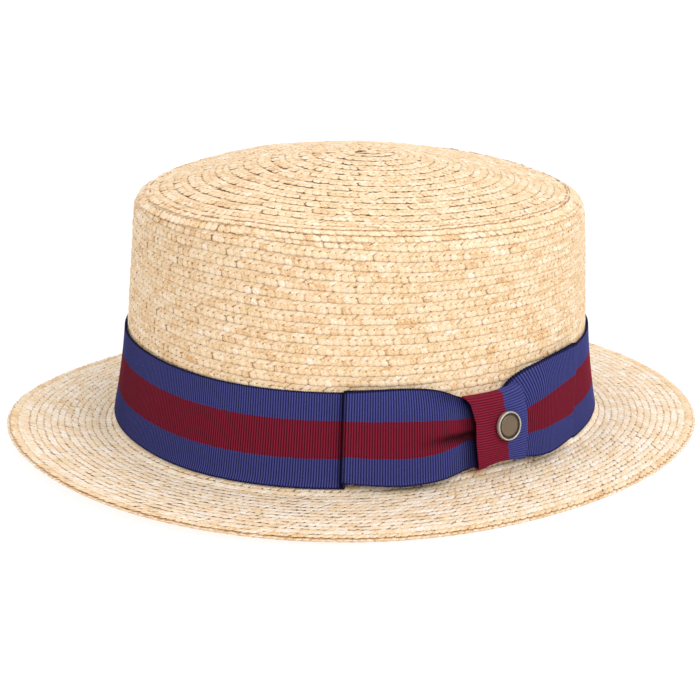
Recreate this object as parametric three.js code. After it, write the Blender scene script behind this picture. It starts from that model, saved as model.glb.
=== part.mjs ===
import * as THREE from "three";

// Straw boater hat in millimetres, +Z up.
// The sides of the brim rest on z = 0, the front faces -Y and the bow is on +X, the wearer's left.

// Head oval, measured outside the straw at about the band's upper edge
const ovalHeight = 45.8;
const crownWidth = 171.6;
const crownLength = 204.6;
const ovalPower = 2.17; // 2 is an ellipse, a head oval is a little fuller
const ovalSides = 72;
const latheRadius = (crownWidth + crownLength) / 4; // round form before it is pressed to the oval

// Straw
const strawWall = 2.2;
const hatHeight = 119;
const crownTaper = 0.057; // the wall leans in this much for each mm of height
const crownBell = 4.2; // below the oval's height the wall also bells out, this much at the floor
const bellPower = 1.7;
const shoulderRadius = 10;
const shoulderSteps = 5;
const tipRise = 13; // the tip swells this much above its shoulder
const tipFlat = 0.12; // share of the tip's radius that is flat
const tipSlope = 0.22; // fall of the tip where it meets the shoulder
const tipShares = [0.84, 0.68, 0.5, 0.32, tipFlat];
const crownFoot = 12.3; // lower end of the crown's wall, behind the band
const wallHeights = [crownFoot, 21, 32, ovalHeight];
const brimWidth = 49.4;
const brimLengthen = 1.4; // wider by this at the front and back, narrower at the sides
const brimTurn = 3.5; // the front and back edges turn up this much above the sides
const brimTop = 4.2; // upper face where the brim leaves the crown
const footRadius = 6; // fillet between crown and brim
const footSteps = 4;
const edgeRowWidth = 4.4; // thicker finishing row
const edgeHeight = 2.5;
const edgeRound = 0.7;
const edgeStep = 0.35;

// Ribbon
const ribbon = 1; // thickness of the cloth
const gap = 0.3; // clearance between neighbouring pieces
const bandTop = 43.3; // at the bow
const bandLow = 5.8;
const bandTopLift = 5.2; // the band sits this much higher on the side away from the bow
const bandLowLift = 2.2;
const bandShares = [0, 0.05, 0.11, 0.22, 0.46, 0.72, 1]; // across the ribbon's width

// Bow, a loop of ribbon laid along the band on each side of the knot:
// heights of the edges, standoff of the two layers, depth of the crease in the front one
const bowMiddle = 1.6; // behind the wearer's left
const bowFront = 64; // from the middle to the forward fold
const bowBack = 54; // from the middle to the rearward fold
const bowRows = [
  { along: 0, low: 9.8, high: 36, back: 1.6, front: 3.2, crease: 0 },
  { along: 17.6, low: 9.7, high: 36.1, back: 1.6, front: 3.4, crease: 0 },
  { along: 22.6, low: 7.8, high: 39.7, back: 1.0, front: 4.6, crease: 1.3 },
  { along: 30, low: 7.0, high: 42.6, back: 0.5, front: 4.6, crease: 0.9 },
  { along: 42, low: 6.7, high: 43.9, back: 0.5, front: 3.8, crease: 0.2 },
  { along: 54, low: 7.0, high: 44.2, back: 0.5, front: 2.8, crease: 0 },
  { along: 64, low: 8.0, high: 44.4, back: 0.5, front: 2.8, crease: 0 },
];
const bandTuck = 0.5; // the band is gathered this far inside the bow's edges
const bowSteps = 14; // along each layer of a loop
const foldSteps = 4;
const bowLanes = 8; // across the ribbon's width
const creaseCentre = 0.38; // share of the ribbon's width, from the lower edge
const creaseReach = 0.26;

// Knot, a ribbon wrapped round the bow's middle
const knotWidth = 28;
const knotAlong = 1.1; // its middle, behind the bow's
const knotSlant = -0.15; // along the band for each mm of height
const knotLow = 8.2;
const knotHigh = 38.1;
const knotClear = 3.8; // depth inside the wrap
const knotSwell = 0.7;
const knotCorner = 0.4; // inside round of the wrap
const knotSteps = 10;
const knotLanes = 4;

// Badge
const badgeAlong = 4.2;
const badgeHeight = 23.7;
const badgeRadius = 6;
const badgeThick = 2;
const badgeRim = 1; // width of the rim, and of the groove inside it
const badgeGroove = 0.6;
const badgeBevel = 0.4;
const badgeSides = 32;

// Colours
const strawColour = "#e8cd9c";
const navy = "#33336f";
const burgundy = "#731c30";
const agedMetal = "#8f8577";

// Distance from the axis to the head oval at a polar angle, 0 towards +X
function ovalRadius(angle) {
  const across = Math.abs(Math.cos(angle)) / (crownWidth / 2);
  const lengthwise = Math.abs(Math.sin(angle)) / (crownLength / 2);
  return (across ** ovalPower + lengthwise ** ovalPower) ** (-1 / ovalPower);
}

// How far the straw wall stands outside the head oval at a height
function wallOut(height) {
  const below = ovalHeight - height;
  return crownTaper * below + crownBell * (Math.max(0, below) / ovalHeight) ** bellPower;
}

// Turns a profile of [out, height] about the axis and presses the round form to the head oval
function ovalLathe(profile) {
  const points = profile.map(([out, height]) => new THREE.Vector2(latheRadius + out, height));
  const geometry = new THREE.LatheGeometry(points, ovalSides);
  geometry.rotateX(Math.PI / 2);
  const position = geometry.attributes.position;
  for (let i = 0; i < position.count; i += 1) {
    const x = position.getX(i);
    const y = position.getY(i);
    const round = Math.hypot(x, y);
    const oval = ovalRadius(Math.atan2(y, x));
    const pressed = round < latheRadius ? (oval * round) / latheRadius : oval + round - latheRadius;
    const scale = round > 0 ? pressed / round : 0;
    position.setXY(i, x * scale, y * scale);
  }
  return geometry;
}

// Points of an arc as [out, height], angles from the outward direction
function arc(centreOut, centreHeight, radius, from, to, steps) {
  return Array.from({ length: steps + 1 }, (_, i) => {
    const angle = from + ((to - from) * i) / steps;
    return [centreOut + radius * Math.cos(angle), centreHeight + radius * Math.sin(angle)];
  });
}

// One face of the crown from its foot to the axis, set in from the outer face
function crownFace(inset) {
  const tilt = Math.atan(tipSlope);
  const shoulderHeight = hatHeight - tipRise - shoulderRadius * Math.cos(tilt);
  const shoulderOut = wallOut(shoulderHeight) - shoulderRadius;
  const wall = wallHeights.map((height) => [wallOut(height) - inset, height]);
  const shoulder = arc(shoulderOut, shoulderHeight, shoulderRadius - inset, 0, Math.PI / 2 - tilt, shoulderSteps);
  const tipRadius = latheRadius + shoulderOut + shoulderRadius * Math.sin(tilt);
  const tipCurve = (tipSlope * tipRadius * (1 - tipFlat)) / tipRise;
  const tip = tipShares.map((share) => {
    const fall = tipRise * ((share - tipFlat) / (1 - tipFlat)) ** tipCurve;
    return [tipRadius * share - latheRadius, hatHeight - inset - fall];
  });
  return [...wall, ...shoulder, ...tip, [-latheRadius, hatHeight - inset]];
}

function crownGeometry() {
  return ovalLathe([...crownFace(strawWall).reverse(), ...crownFace(0)]);
}

const footHeight = brimTop + footRadius; // where the fillet meets the upright wall
const footOut = wallOut(footHeight) + footRadius; // centre of the fillet

// The brim is a little longer than it is wide, and turns up towards its front and back
function turnBrim(geometry) {
  const position = geometry.attributes.position;
  for (let i = 0; i < position.count; i += 1) {
    const x = position.getX(i);
    const y = position.getY(i);
    const radius = Math.hypot(x, y);
    const angle = Math.atan2(y, x);
    const share = Math.max(0, (radius - ovalRadius(angle) - footOut) / (brimWidth - footOut));
    const endwise = -Math.cos(2 * angle); // 1 at the front and back, -1 at the sides
    const scale = 1 + (share * brimLengthen * endwise) / radius;
    const rise = (share * brimTurn * (1 + endwise)) / 2;
    position.setXYZ(i, x * scale, y * scale, position.getZ(i) + rise);
  }
  return geometry;
}

function brimGeometry() {
  const collarHeight = crownFoot - gap;
  const collarOut = wallOut(collarHeight);
  const edgeRow = brimWidth - edgeRowWidth;
  const edgeShoulder = brimWidth - edgeRound;
  const upperFillet = arc(footOut, footHeight, footRadius, (3 * Math.PI) / 2, Math.PI, footSteps);
  const lowerFillet = arc(footOut, footHeight, footRadius + strawWall, Math.PI, (3 * Math.PI) / 2, footSteps);
  const profile = [
    [edgeRow + edgeRound, 0],
    [edgeShoulder, 0],
    [brimWidth, edgeRound],
    [brimWidth, edgeHeight - edgeRound],
    [edgeShoulder, edgeHeight],
    [edgeRow + edgeRound, edgeHeight],
    [edgeRow, edgeHeight - edgeStep],
    ...upperFillet,
    [collarOut, collarHeight],
    [collarOut - strawWall, collarHeight],
    ...lowerFillet,
  ];
  return turnBrim(ovalLathe([...profile, profile[0]]));
}

// How far a ribbon's face, a distance off the straw, stands outside the head oval at a height
function ribbonOut(height, off) {
  if (height >= footHeight) return wallOut(height) + off;
  return footOut - Math.sqrt((footRadius - off) ** 2 - (footHeight - height) ** 2);
}

function bandOut(height) {
  return ribbonOut(height, gap + ribbon);
}

// Distance walked along the band's outer face from +X to a polar angle
function alongBand(angle) {
  const steps = 100;
  const middleOut = bandOut(badgeHeight);
  let walked = 0;
  for (let i = 0; i < steps; i += 1) walked += ovalRadius((angle * (i + 0.5)) / steps) + middleOut;
  return (walked * angle) / steps;
}

// Polar angle reached by walking that distance
function angleAlong(distance) {
  const tries = 6;
  let angle = 0;
  for (let i = 0; i < tries; i += 1) {
    const radius = ovalRadius(angle) + bandOut(badgeHeight);
    angle += (distance - alongBand(angle)) / radius;
  }
  return angle;
}

// A point laid on the band: along it from the bow's middle, at a height, standing out from its face
function onBand(along, height, out) {
  const angle = angleAlong(along + bowMiddle);
  const radius = ovalRadius(angle) + bandOut(height) + out;
  return new THREE.Vector3(radius * Math.cos(angle), radius * Math.sin(angle), height);
}

// Closes rows of points into a ring-shaped skin, each row a closed section
function ringSkin(rows) {
  const count = rows[0].length;
  const index = [];
  rows.forEach((row, i) => {
    const here = i * count;
    const next = ((i + 1) % rows.length) * count;
    row.forEach((point, j) => {
      const k = (j + 1) % count;
      index.push(here + j, next + j, next + k, here + j, next + k, here + k);
    });
  });
  const geometry = new THREE.BufferGeometry().setFromPoints(rows.flat());
  geometry.setIndex(index);
  geometry.computeVertexNormals();
  return geometry;
}

// A value of the bow's table at a distance from its middle, eased between rows
function bowValue(along, column) {
  const last = bowRows.length - 1;
  const distance = Math.min(Math.abs(along), bowRows[last].along);
  const i = Math.max(1, bowRows.findIndex((row) => row.along >= distance));
  const before = bowRows[i - 1];
  const after = bowRows[i];
  const share = THREE.MathUtils.smoothstep(distance, before.along, after.along);
  return THREE.MathUtils.lerp(before[column], after[column], share);
}

// The band, a ring of cloth that is gathered under the bow and rises towards the other side
function bandGeometry() {
  const rows = Array.from({ length: ovalSides }, (_, i) => {
    const angle = -Math.PI + (2 * Math.PI * i) / ovalSides;
    const along = alongBand(angle) - bowMiddle;
    const rise = (1 - Math.cos(angle)) / 2;
    let low = bandLow + bandLowLift * rise;
    let high = bandTop + bandTopLift * rise;
    if (along > -bowFront && along < bowBack) {
      low = Math.max(low, bowValue(along, "low") + bandTuck);
      high = Math.min(high, bowValue(along, "high") - bandTuck);
    }
    const face = (off) =>
      bandShares.map((share) => {
        const height = THREE.MathUtils.lerp(low, high, share);
        const radius = ovalRadius(angle) + ribbonOut(height, off);
        return new THREE.Vector3(radius * Math.cos(angle), radius * Math.sin(angle), height);
      });
    return [...face(gap + ribbon), ...face(gap).reverse()];
  });
  return ringSkin(rows);
}

// Middle of a loop's cloth, once round: back layer, fold at its end, front layer, seam under the knot
function loopPath(end) {
  const half = ribbon / 2;
  const start = Math.sign(end) * ribbon;
  const layer = (column) =>
    Array.from({ length: bowSteps + 1 }, (_, i) => {
      const along = THREE.MathUtils.lerp(start, end, i / bowSteps);
      return { along, out: bowValue(along, column) + half, creased: column === "front" };
    });
  const back = bowValue(end, "back") + half;
  const radius = (bowValue(end, "front") + half - back) / 2;
  const fold = Array.from({ length: foldSteps - 1 }, (_, i) => {
    const turn = (Math.PI * (i + 1)) / foldSteps;
    const along = end + Math.sign(end) * radius * Math.sin(turn);
    return { along, out: back + radius * (1 - Math.cos(turn)), creased: false };
  });
  const path = [...layer("back"), ...fold, ...layer("front").reverse()];
  return end > 0 ? path : path.reverse();
}

function loopGeometry(end) {
  const path = loopPath(end);
  const rows = path.map((here, i) => {
    const before = path[(i + path.length - 1) % path.length];
    const after = path[(i + 1) % path.length];
    const heading = new THREE.Vector2(after.along - before.along, after.out - before.out).normalize();
    const low = bowValue(here.along, "low");
    const high = bowValue(here.along, "high");
    const crease = here.creased ? bowValue(here.along, "crease") : 0;
    const face = (side) =>
      Array.from({ length: bowLanes + 1 }, (_, lane) => {
        const share = lane / bowLanes;
        const dip = crease * Math.max(0, 1 - Math.abs(share - creaseCentre) / creaseReach);
        const along = here.along + (side * heading.y * ribbon) / 2;
        const out = here.out - dip - (side * heading.x * ribbon) / 2;
        return onBand(along, THREE.MathUtils.lerp(low, high, share), out);
      });
    return [...face(-1), ...face(1).reverse()];
  });
  return ringSkin(rows);
}

// Outline of the knot's wrap seen along the band as [height, out], a rounded box that swells in front
function knotOutline(thickness) {
  const corner = knotCorner + thickness;
  const low = knotLow + ribbon - thickness;
  const high = knotHigh - ribbon + thickness;
  const back = gap + ribbon - thickness;
  const front = knotClear + ribbon + thickness;
  const rounds = (height, out, from) => arc(height, out, corner, from, from + Math.PI / 2, 2);
  const swell = Array.from({ length: knotSteps - 1 }, (_, i) => {
    const share = (i + 1) / knotSteps;
    const height = THREE.MathUtils.lerp(high - corner, low + corner, share);
    return [height, front + knotSwell * Math.sin(Math.PI * share)];
  });
  return [
    ...rounds(low + corner, back + corner, Math.PI),
    ...rounds(high - corner, back + corner, (3 * Math.PI) / 2),
    ...rounds(high - corner, front - corner, 0),
    ...swell,
    ...rounds(low + corner, front - corner, Math.PI / 2),
  ];
}

function knotGeometry() {
  const outer = knotOutline(ribbon);
  const inner = knotOutline(0);
  const lanes = Array.from({ length: knotLanes + 1 }, (_, lane) => lane / knotLanes);
  const rows = outer.map((_, i) => {
    const face = (outline) =>
      lanes.map((share) => {
        const [height, out] = outline[i];
        const slant = knotSlant * (height - badgeHeight);
        return onBand(knotAlong + knotWidth * (share - 0.5) + slant, height, out);
      });
    return [...face(outer), ...face(inner).reverse()];
  });
  return ringSkin(rows);
}

// Stud turned about its own axis, [radius, height]: bevelled rim, groove and sunk face
function badgeGeometry() {
  const rimInside = badgeRadius - badgeRim;
  const groove = badgeThick - badgeGroove;
  const face = badgeThick - badgeGroove / 2;
  const profile = [
    [0, 0],
    [badgeRadius - badgeBevel, 0],
    [badgeRadius, badgeBevel],
    [badgeRadius, badgeThick - badgeBevel],
    [badgeRadius - badgeBevel, badgeThick],
    [rimInside, badgeThick],
    [rimInside - badgeBevel, groove],
    [rimInside - badgeRim, groove],
    [rimInside - badgeRim - badgeBevel, face],
    [0, face],
  ];
  const points = profile.map(([radius, height]) => new THREE.Vector2(radius, height));
  return new THREE.LatheGeometry(points, badgeSides);
}

function subPart(name, geometry, colour, roughness, metalness = 0) {
  const material = new THREE.MeshStandardMaterial({ color: colour, roughness, metalness });
  const mesh = new THREE.Mesh(geometry, material);
  mesh.name = name;
  return mesh;
}

// The badge lies on the knot, its axis square to the knot's face
function seatedBadge() {
  const badge = subPart("badge", badgeGeometry(), agedMetal, 0.4, 1);
  const seat = onBand(badgeAlong, badgeHeight, 0);
  const beside = onBand(badgeAlong + 1, badgeHeight, 0).sub(seat);
  const above = onBand(badgeAlong, badgeHeight + 1, 0).sub(seat);
  const square = beside.cross(above).normalize();
  const knotFace = knotClear + 2 * ribbon + knotSwell;
  badge.quaternion.setFromUnitVectors(new THREE.Vector3(0, 1, 0), square);
  badge.position.copy(seat).addScaledVector(square, knotFace + gap);
  return badge;
}

const hat = new THREE.Group();
hat.add(subPart("crown", crownGeometry(), strawColour, 0.7));
hat.add(subPart("brim", brimGeometry(), strawColour, 0.7));
hat.add(subPart("band", bandGeometry(), navy, 0.8));
hat.add(subPart("bow_front", loopGeometry(-bowFront), navy, 0.8));
hat.add(subPart("bow_back", loopGeometry(bowBack), navy, 0.8));
hat.add(subPart("knot", knotGeometry(), burgundy, 0.8));
hat.add(seatedBadge());

export default hat;
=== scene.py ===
import math

import bmesh
import bpy
import numpy as np
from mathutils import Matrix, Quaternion, Vector


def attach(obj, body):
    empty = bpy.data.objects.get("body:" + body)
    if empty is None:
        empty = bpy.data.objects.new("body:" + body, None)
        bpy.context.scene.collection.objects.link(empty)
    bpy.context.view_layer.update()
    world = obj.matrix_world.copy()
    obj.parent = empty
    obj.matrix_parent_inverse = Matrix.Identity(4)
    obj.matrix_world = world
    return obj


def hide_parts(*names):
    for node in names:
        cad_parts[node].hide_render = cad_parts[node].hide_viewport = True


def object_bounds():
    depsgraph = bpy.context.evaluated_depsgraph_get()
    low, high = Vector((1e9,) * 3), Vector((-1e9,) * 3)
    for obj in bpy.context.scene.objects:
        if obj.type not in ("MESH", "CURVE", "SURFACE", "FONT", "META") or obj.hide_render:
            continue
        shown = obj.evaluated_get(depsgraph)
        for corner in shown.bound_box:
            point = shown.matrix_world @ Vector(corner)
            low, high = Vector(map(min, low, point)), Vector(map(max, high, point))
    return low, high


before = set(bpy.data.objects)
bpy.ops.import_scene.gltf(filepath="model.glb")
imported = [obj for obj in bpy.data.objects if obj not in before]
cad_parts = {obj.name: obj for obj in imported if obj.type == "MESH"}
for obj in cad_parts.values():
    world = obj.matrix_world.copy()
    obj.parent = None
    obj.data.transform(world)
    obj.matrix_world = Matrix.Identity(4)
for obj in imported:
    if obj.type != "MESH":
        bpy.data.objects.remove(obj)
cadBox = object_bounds()
mm = 0.001  # lengths below are in millimetres, and meshes are made in metres

# Straw boater hat: lapped rows of plaited straw, striped ribbed ribbon, flat side bow, plain stud
hat = dict(
    crownWidth=171.6, crownLength=204.6, ovalPower=2.17, ovalHeight=45.8,
    taper=0.057, bell=4.2, bellPower=1.7,
    shoulderRadius=10.0, tipRise=13.0, tipFlat=0.12, tipSlope=0.22,
    wall=2.2, crownFoot=12.3, brimTop=4.2, brimDrop=2.05, brimLengthen=1.4, brimTurn=3.5,
    footRadius=6.0, edgeRow=4.4, ribbonGap=0.3, ribbonThick=1.0,
    bandTop=43.3, bandLow=5.8, bandTopLift=5.2, bandLowLift=2.2, bandMiddle=23.7, bowMiddle=1.6,
    # Soft straw drawn out at the brim: angle, reach and spread
    brimPulls=[(-2.2, 3.0, 0.28), (0.94, 1.5, 0.35), (-0.63, 2.5, 0.5)],
    # The soft tip lies unevenly: its rise by the distance across it, in one direction
    slumpWay=0.942, slumpFrom=70.0, slumpOver=30.0,
    slumpAcross=[-100, -88, -66, -44, -22, 0, 22, 44, 66, 82, 95],
    slumpRise=[0.8, -0.5, 0.9, 2.2, 1.4, 0.8, -0.5, -1.4, -2.4, -3.3, -3.6],
    steps=dict(tip=200, shoulder=40, side=160, foot=24, brim=100, round=4001))
hat["height"] = cadBox[1].z / mm
hat["brimWidth"] = cadBox[1].x / mm - hat["crownWidth"] / 2 + hat["brimLengthen"]
latheRadius = (hat["crownWidth"] + hat["crownLength"]) / 4
fullTurn = 2 * math.pi


def ovalRadius(angle):
    across = np.abs(np.cos(angle)) / (hat["crownWidth"] / 2)
    lengthwise = np.abs(np.sin(angle)) / (hat["crownLength"] / 2)
    power = hat["ovalPower"]
    return (across ** power + lengthwise ** power) ** (-1 / power)


def pressToOval(roundRadius, angle):
    oval = ovalRadius(angle)
    inside = oval * roundRadius / latheRadius
    return np.where(roundRadius < latheRadius, inside, oval + roundRadius - latheRadius)


def wallOut(height):
    below = hat["ovalHeight"] - height
    flare = np.clip(below / hat["ovalHeight"], 0, None) ** hat["bellPower"]
    return hat["taper"] * below + hat["bell"] * flare


footHeight = hat["brimTop"] + hat["footRadius"]
footOut = wallOut(footHeight) + hat["footRadius"]


def arcPoints(centreOut, centreHeight, radius, start, end, count):
    turn = np.linspace(start, end, count)
    return np.stack([centreOut + radius * np.cos(turn), centreHeight + radius * np.sin(turn)], 1)


# The straw's outer face from the tip's middle to the brim's edge, as stretches of [out, height]
def strawStretches():
    steps = hat["steps"]
    tilt = math.atan(hat["tipSlope"])  # the tip falls off to its shoulder at this angle
    shoulderHeight = hat["height"] - hat["tipRise"] - hat["shoulderRadius"] * math.cos(tilt)
    shoulderOut = wallOut(shoulderHeight) - hat["shoulderRadius"]
    tipRadius = latheRadius + shoulderOut + hat["shoulderRadius"] * math.sin(tilt)
    tipCurve = hat["tipSlope"] * tipRadius * (1 - hat["tipFlat"]) / hat["tipRise"]
    share = np.linspace(0, 1, steps["tip"])
    beyondFlat = np.clip((share - hat["tipFlat"]) / (1 - hat["tipFlat"]), 0, None)
    tipHeight = hat["height"] - hat["tipRise"] * beyondFlat ** tipCurve
    tip = np.stack([tipRadius * share - latheRadius, tipHeight], 1)
    shoulder = arcPoints(
        shoulderOut, shoulderHeight, hat["shoulderRadius"], math.pi / 2 - tilt, 0, steps["shoulder"])
    sideHeight = np.linspace(shoulderHeight, footHeight, steps["side"])
    side = np.stack([wallOut(sideHeight), sideHeight], 1)
    foot = arcPoints(footOut, footHeight, hat["footRadius"], math.pi, 1.5 * math.pi, steps["foot"])
    brimOut = np.linspace(footOut, hat["brimWidth"], steps["brim"])
    brimSlope = hat["brimDrop"] / (hat["brimWidth"] - hat["edgeRow"] - footOut)
    brim = np.stack([brimOut, hat["brimTop"] - brimSlope * (brimOut - footOut)], 1)
    return dict(tip=tip, shoulder=shoulder, side=side, foot=foot, brim=brim)


stretches = strawStretches()
outline = np.concatenate([points[:-1] for points in stretches.values()] + [stretches["brim"][-1:]])
walkLine = np.concatenate([[0], np.cumsum(np.hypot(*np.diff(outline, axis=0).T))])
ends = np.cumsum([len(points) - 1 for points in stretches.values()])
walkEnd = dict(zip(stretches, walkLine[ends]))  # distance walked to the end of each stretch
heading = np.gradient(outline, walkLine, axis=0)
heading /= np.linalg.norm(heading, axis=1)[:, None]


def nearAngle(angle, middle, spread):  # 1 at the middle, dying away on both sides of it
    away = (angle - middle + math.pi) % fullTurn - math.pi
    return np.exp(-(away / spread) ** 2)


# Points on the straw's outer face, by the distance walked from the tip's middle and the angle round the hat
def onStraw(walked, angle, lift=0.0):
    def along(values):
        return np.interp(walked, walkLine, values)

    roundRadius = latheRadius + along(outline[:, 0]) - lift * along(heading[:, 1])
    height = along(outline[:, 1]) + lift * along(heading[:, 0])
    radius = pressToOval(roundRadius, angle)
    share = np.clip((roundRadius - latheRadius - footOut) / (hat["brimWidth"] - footOut), 0, None)
    endwise = -np.cos(2 * angle)  # the brim is longer and turned up at the front and back
    radius = radius + share * hat["brimLengthen"] * endwise
    for middle, reach, spread in hat["brimPulls"]:
        radius = radius + share ** 2 * reach * nearAngle(angle, middle, spread)
    height = height + share * hat["brimTurn"] * (1 + endwise) / 2
    upper = np.clip((height - hat["slumpFrom"]) / hat["slumpOver"], 0, 1)
    across = radius * np.cos(angle - hat["slumpWay"])
    slump = np.interp(across, hat["slumpAcross"], hat["slumpRise"])
    height = height + upper ** 2 * (3 - 2 * upper) * slump
    return np.stack([radius * np.cos(angle), radius * np.sin(angle), height], -1)


def strawFacing(walked, angle):
    step, turn = 0.05, 0.01
    outward = onStraw(walked + step, angle) - onStraw(walked - step, angle)
    around = onStraw(walked, angle + turn) - onStraw(walked, angle - turn)
    square = np.cross(outward, around)
    return square / np.linalg.norm(square, axis=-1)[..., None]


def walkToHeight(height):
    side = slice(ends[1], ends[2] + 1)
    return np.interp(-height, -outline[side, 1], walkLine[side])


# Camera at the photograph's angle
view = dict(azimuth=54.0, elevation=17.82, roll=1.37, distance=865.0, focalPixels=1974.0,
            imageWidth=700, aimRight=-3.9, aimUp=31.0)


def makeCamera():
    turn, rise = math.radians(view["azimuth"]), math.radians(view["elevation"])
    back = Vector((math.sin(turn) * math.cos(rise), -math.cos(turn) * math.cos(rise), math.sin(rise)))
    right = Vector((math.cos(turn), math.sin(turn), 0))
    aim = right * view["aimRight"] + Vector((0, 0, view["aimUp"]))
    camera = bpy.data.objects.new("camera", bpy.data.cameras.new("camera"))
    camera.data.lens = view["focalPixels"] * camera.data.sensor_width / view["imageWidth"]
    camera.data.clip_start = 0.05
    camera.rotation_mode = "QUATERNION"
    level = (-back).to_track_quat("-Z", "Y")
    camera.rotation_quaternion = level @ Quaternion((0, 0, 1), math.radians(view["roll"]))
    camera.location = (aim + back * view["distance"]) * mm
    bpy.context.scene.collection.objects.link(camera)
    bpy.context.scene.camera = camera
    return back, right


cameraBack, cameraRight = makeCamera()
print("camera set")


# Helpers for meshes and node trees
def addPiece(name, points, faces, edges=(), sharpAngle=40):
    mesh = bpy.data.meshes.new(name)
    mesh.from_pydata((np.asarray(points) * mm).tolist(), edges, faces)
    if faces:
        mesh.shade_smooth()
        mesh.set_sharp_from_angle(angle=math.radians(sharpAngle))
    piece = bpy.data.objects.new(name, mesh)
    bpy.context.scene.collection.objects.link(piece)
    return piece


def keepValues(piece, name, values):
    values = np.asarray(values, np.float32)
    kind, key = ("FLOAT", "value") if values.ndim == 1 else ("FLOAT_VECTOR", "vector")
    attribute = piece.data.attributes.new(name, kind, "POINT")
    attribute.data.foreach_set(key, values.ravel())


def cleanMesh(piece, mergeWithin=0.0):
    build = bmesh.new()
    build.from_mesh(piece.data)
    if mergeWithin:
        bmesh.ops.remove_doubles(build, verts=build.verts, dist=mergeWithin * mm)
    bmesh.ops.recalc_face_normals(build, faces=build.faces)
    build.to_mesh(piece.data)
    build.free()


def gridFaces(rows, columns, closeRows=False, closeColumns=False):
    faces = []
    for i in range(rows if closeRows else rows - 1):
        here, after = i * columns, (i + 1) % rows * columns
        for j in range(columns if closeColumns else columns - 1):
            k = (j + 1) % columns
            faces.append((here + j, here + k, after + k, after + j))
    return faces


def pickSocket(sockets, key):
    if isinstance(key, int):
        return sockets[key]
    return next(socket for socket in sockets if socket.name == key and socket.enabled)


def addNode(tree, kind, inputs=None, **settings):
    node = tree.nodes.new(kind)
    for name, value in settings.items():
        setattr(node, name, value)
    for key, value in (inputs or {}).items():
        socket = pickSocket(node.inputs, key)
        if isinstance(value, bpy.types.NodeSocket):
            tree.links.new(value, socket)
        else:
            socket.default_value = value
    return node


def calc(tree, operation, *values):
    return addNode(tree, "ShaderNodeMath", dict(enumerate(values)), operation=operation).outputs[0]


def weigh(tree, first, firstShare, second, secondShare):
    return calc(tree, "ADD", calc(tree, "MULTIPLY", first, firstShare),
                calc(tree, "MULTIPLY", second, secondShare))


def fade(tree, value, start, end, amount=1.0):  # nothing at the start, the whole amount at the end
    return addNode(tree, "ShaderNodeMapRange", {
        "Value": value, "From Min": start, "From Max": end, "To Max": amount}).outputs[0]


def mixColours(tree, share, first, second):
    return addNode(tree, "ShaderNodeMix", {"Factor": share, 6: first, 7: second}, data_type="RGBA").outputs[2]


def readValue(tree, name, output="Vector"):
    return addNode(tree, "ShaderNodeAttribute", attribute_name=name).outputs[output]


def newTree(name, kind, inputs, outputs):
    tree = bpy.data.node_groups.new(name, kind)
    for direction, sockets in (("INPUT", inputs), ("OUTPUT", outputs)):
        for label, socketType in sockets.items():
            tree.interface.new_socket(label, in_out=direction, socket_type="NodeSocket" + socketType)
    return tree, tree.nodes.new("NodeGroupInput").outputs, tree.nodes.new("NodeGroupOutput").inputs


def growPiece(piece, tree, values):
    modifier = piece.modifiers.new(tree.name, "NODES")
    modifier.node_group = tree
    for item in tree.interface.items_tree:
        if item.in_out == "INPUT" and item.name in values:
            modifier[item.identifier] = values[item.name]
    scene = bpy.context.evaluated_depsgraph_get()
    grown = bpy.data.meshes.new_from_object(
        piece.evaluated_get(scene), preserve_all_data_layers=True, depsgraph=scene)
    piece.modifiers.remove(modifier)
    piece.data = grown
    grown.name = piece.name
    grown.calc_loop_triangles()
    print(piece.name, "has", len(grown.loop_triangles), "triangles")
    return piece


def screenColour(red, green, blue):
    def linear(part):
        part /= 255
        return part / 12.92 if part < 0.04045 else ((part + 0.055) / 1.055) ** 2.4
    return (linear(red), linear(green), linear(blue), 1)


def setRamp(node, stops):
    ramp = node.color_ramp
    while len(ramp.elements) < len(stops):
        ramp.elements.new(1)
    for element, (place, colour) in zip(ramp.elements, stops):
        element.position = place
        element.color = screenColour(*colour)
    return node


def newMaterial(name, **settings):
    material = bpy.data.materials.new(name)
    material.use_nodes = True
    shader = material.node_tree.nodes["Principled BSDF"]
    for label, value in settings.items():
        shader.inputs[label.replace("_", " ")].default_value = value
    return material, material.node_tree, shader


# Fine streaks along a fibre, shared by the straw, the ribbon and the stud
fibreLook = dict(streakScale=1.0, streakDetail=3.0, speckScale=1.5, speckDetail=2.0)


def fibreGroup():
    tree, given, result = newTree(
        "fibreStreaks", "ShaderNodeTree",
        {"Vector": "Vector", "Lengthwise": "Float", "Crosswise": "Float"},
        {"Streak": "Float", "Speck": "Float", "Tint": "Float"})
    parts = addNode(tree, "ShaderNodeSeparateXYZ", {0: given["Vector"]}).outputs
    stretched = addNode(tree, "ShaderNodeCombineXYZ", {
        0: calc(tree, "MULTIPLY", parts[0], given["Lengthwise"]),
        1: calc(tree, "MULTIPLY", parts[1], given["Crosswise"]), 2: parts[2]}).outputs[0]
    streak = addNode(tree, "ShaderNodeTexNoise", {
        "Vector": stretched, "Scale": fibreLook["streakScale"], "Detail": fibreLook["streakDetail"]})
    speck = addNode(tree, "ShaderNodeTexNoise", {
        "Vector": given["Vector"], "Scale": fibreLook["speckScale"], "Detail": fibreLook["speckDetail"]})
    tint = addNode(tree, "ShaderNodeSeparateColor", {0: speck.outputs["Color"]})
    tree.links.new(streak.outputs[0], result["Streak"])
    tree.links.new(speck.outputs[0], result["Speck"])
    tree.links.new(tint.outputs[1], result["Tint"])
    return tree


fibreStreaks = fibreGroup()


def fibreAt(tree, vector, lengthwise, crosswise):
    return addNode(tree, "ShaderNodeGroup", {
        "Vector": vector, "Lengthwise": lengthwise, "Crosswise": crosswise}, node_tree=fibreStreaks).outputs


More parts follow.
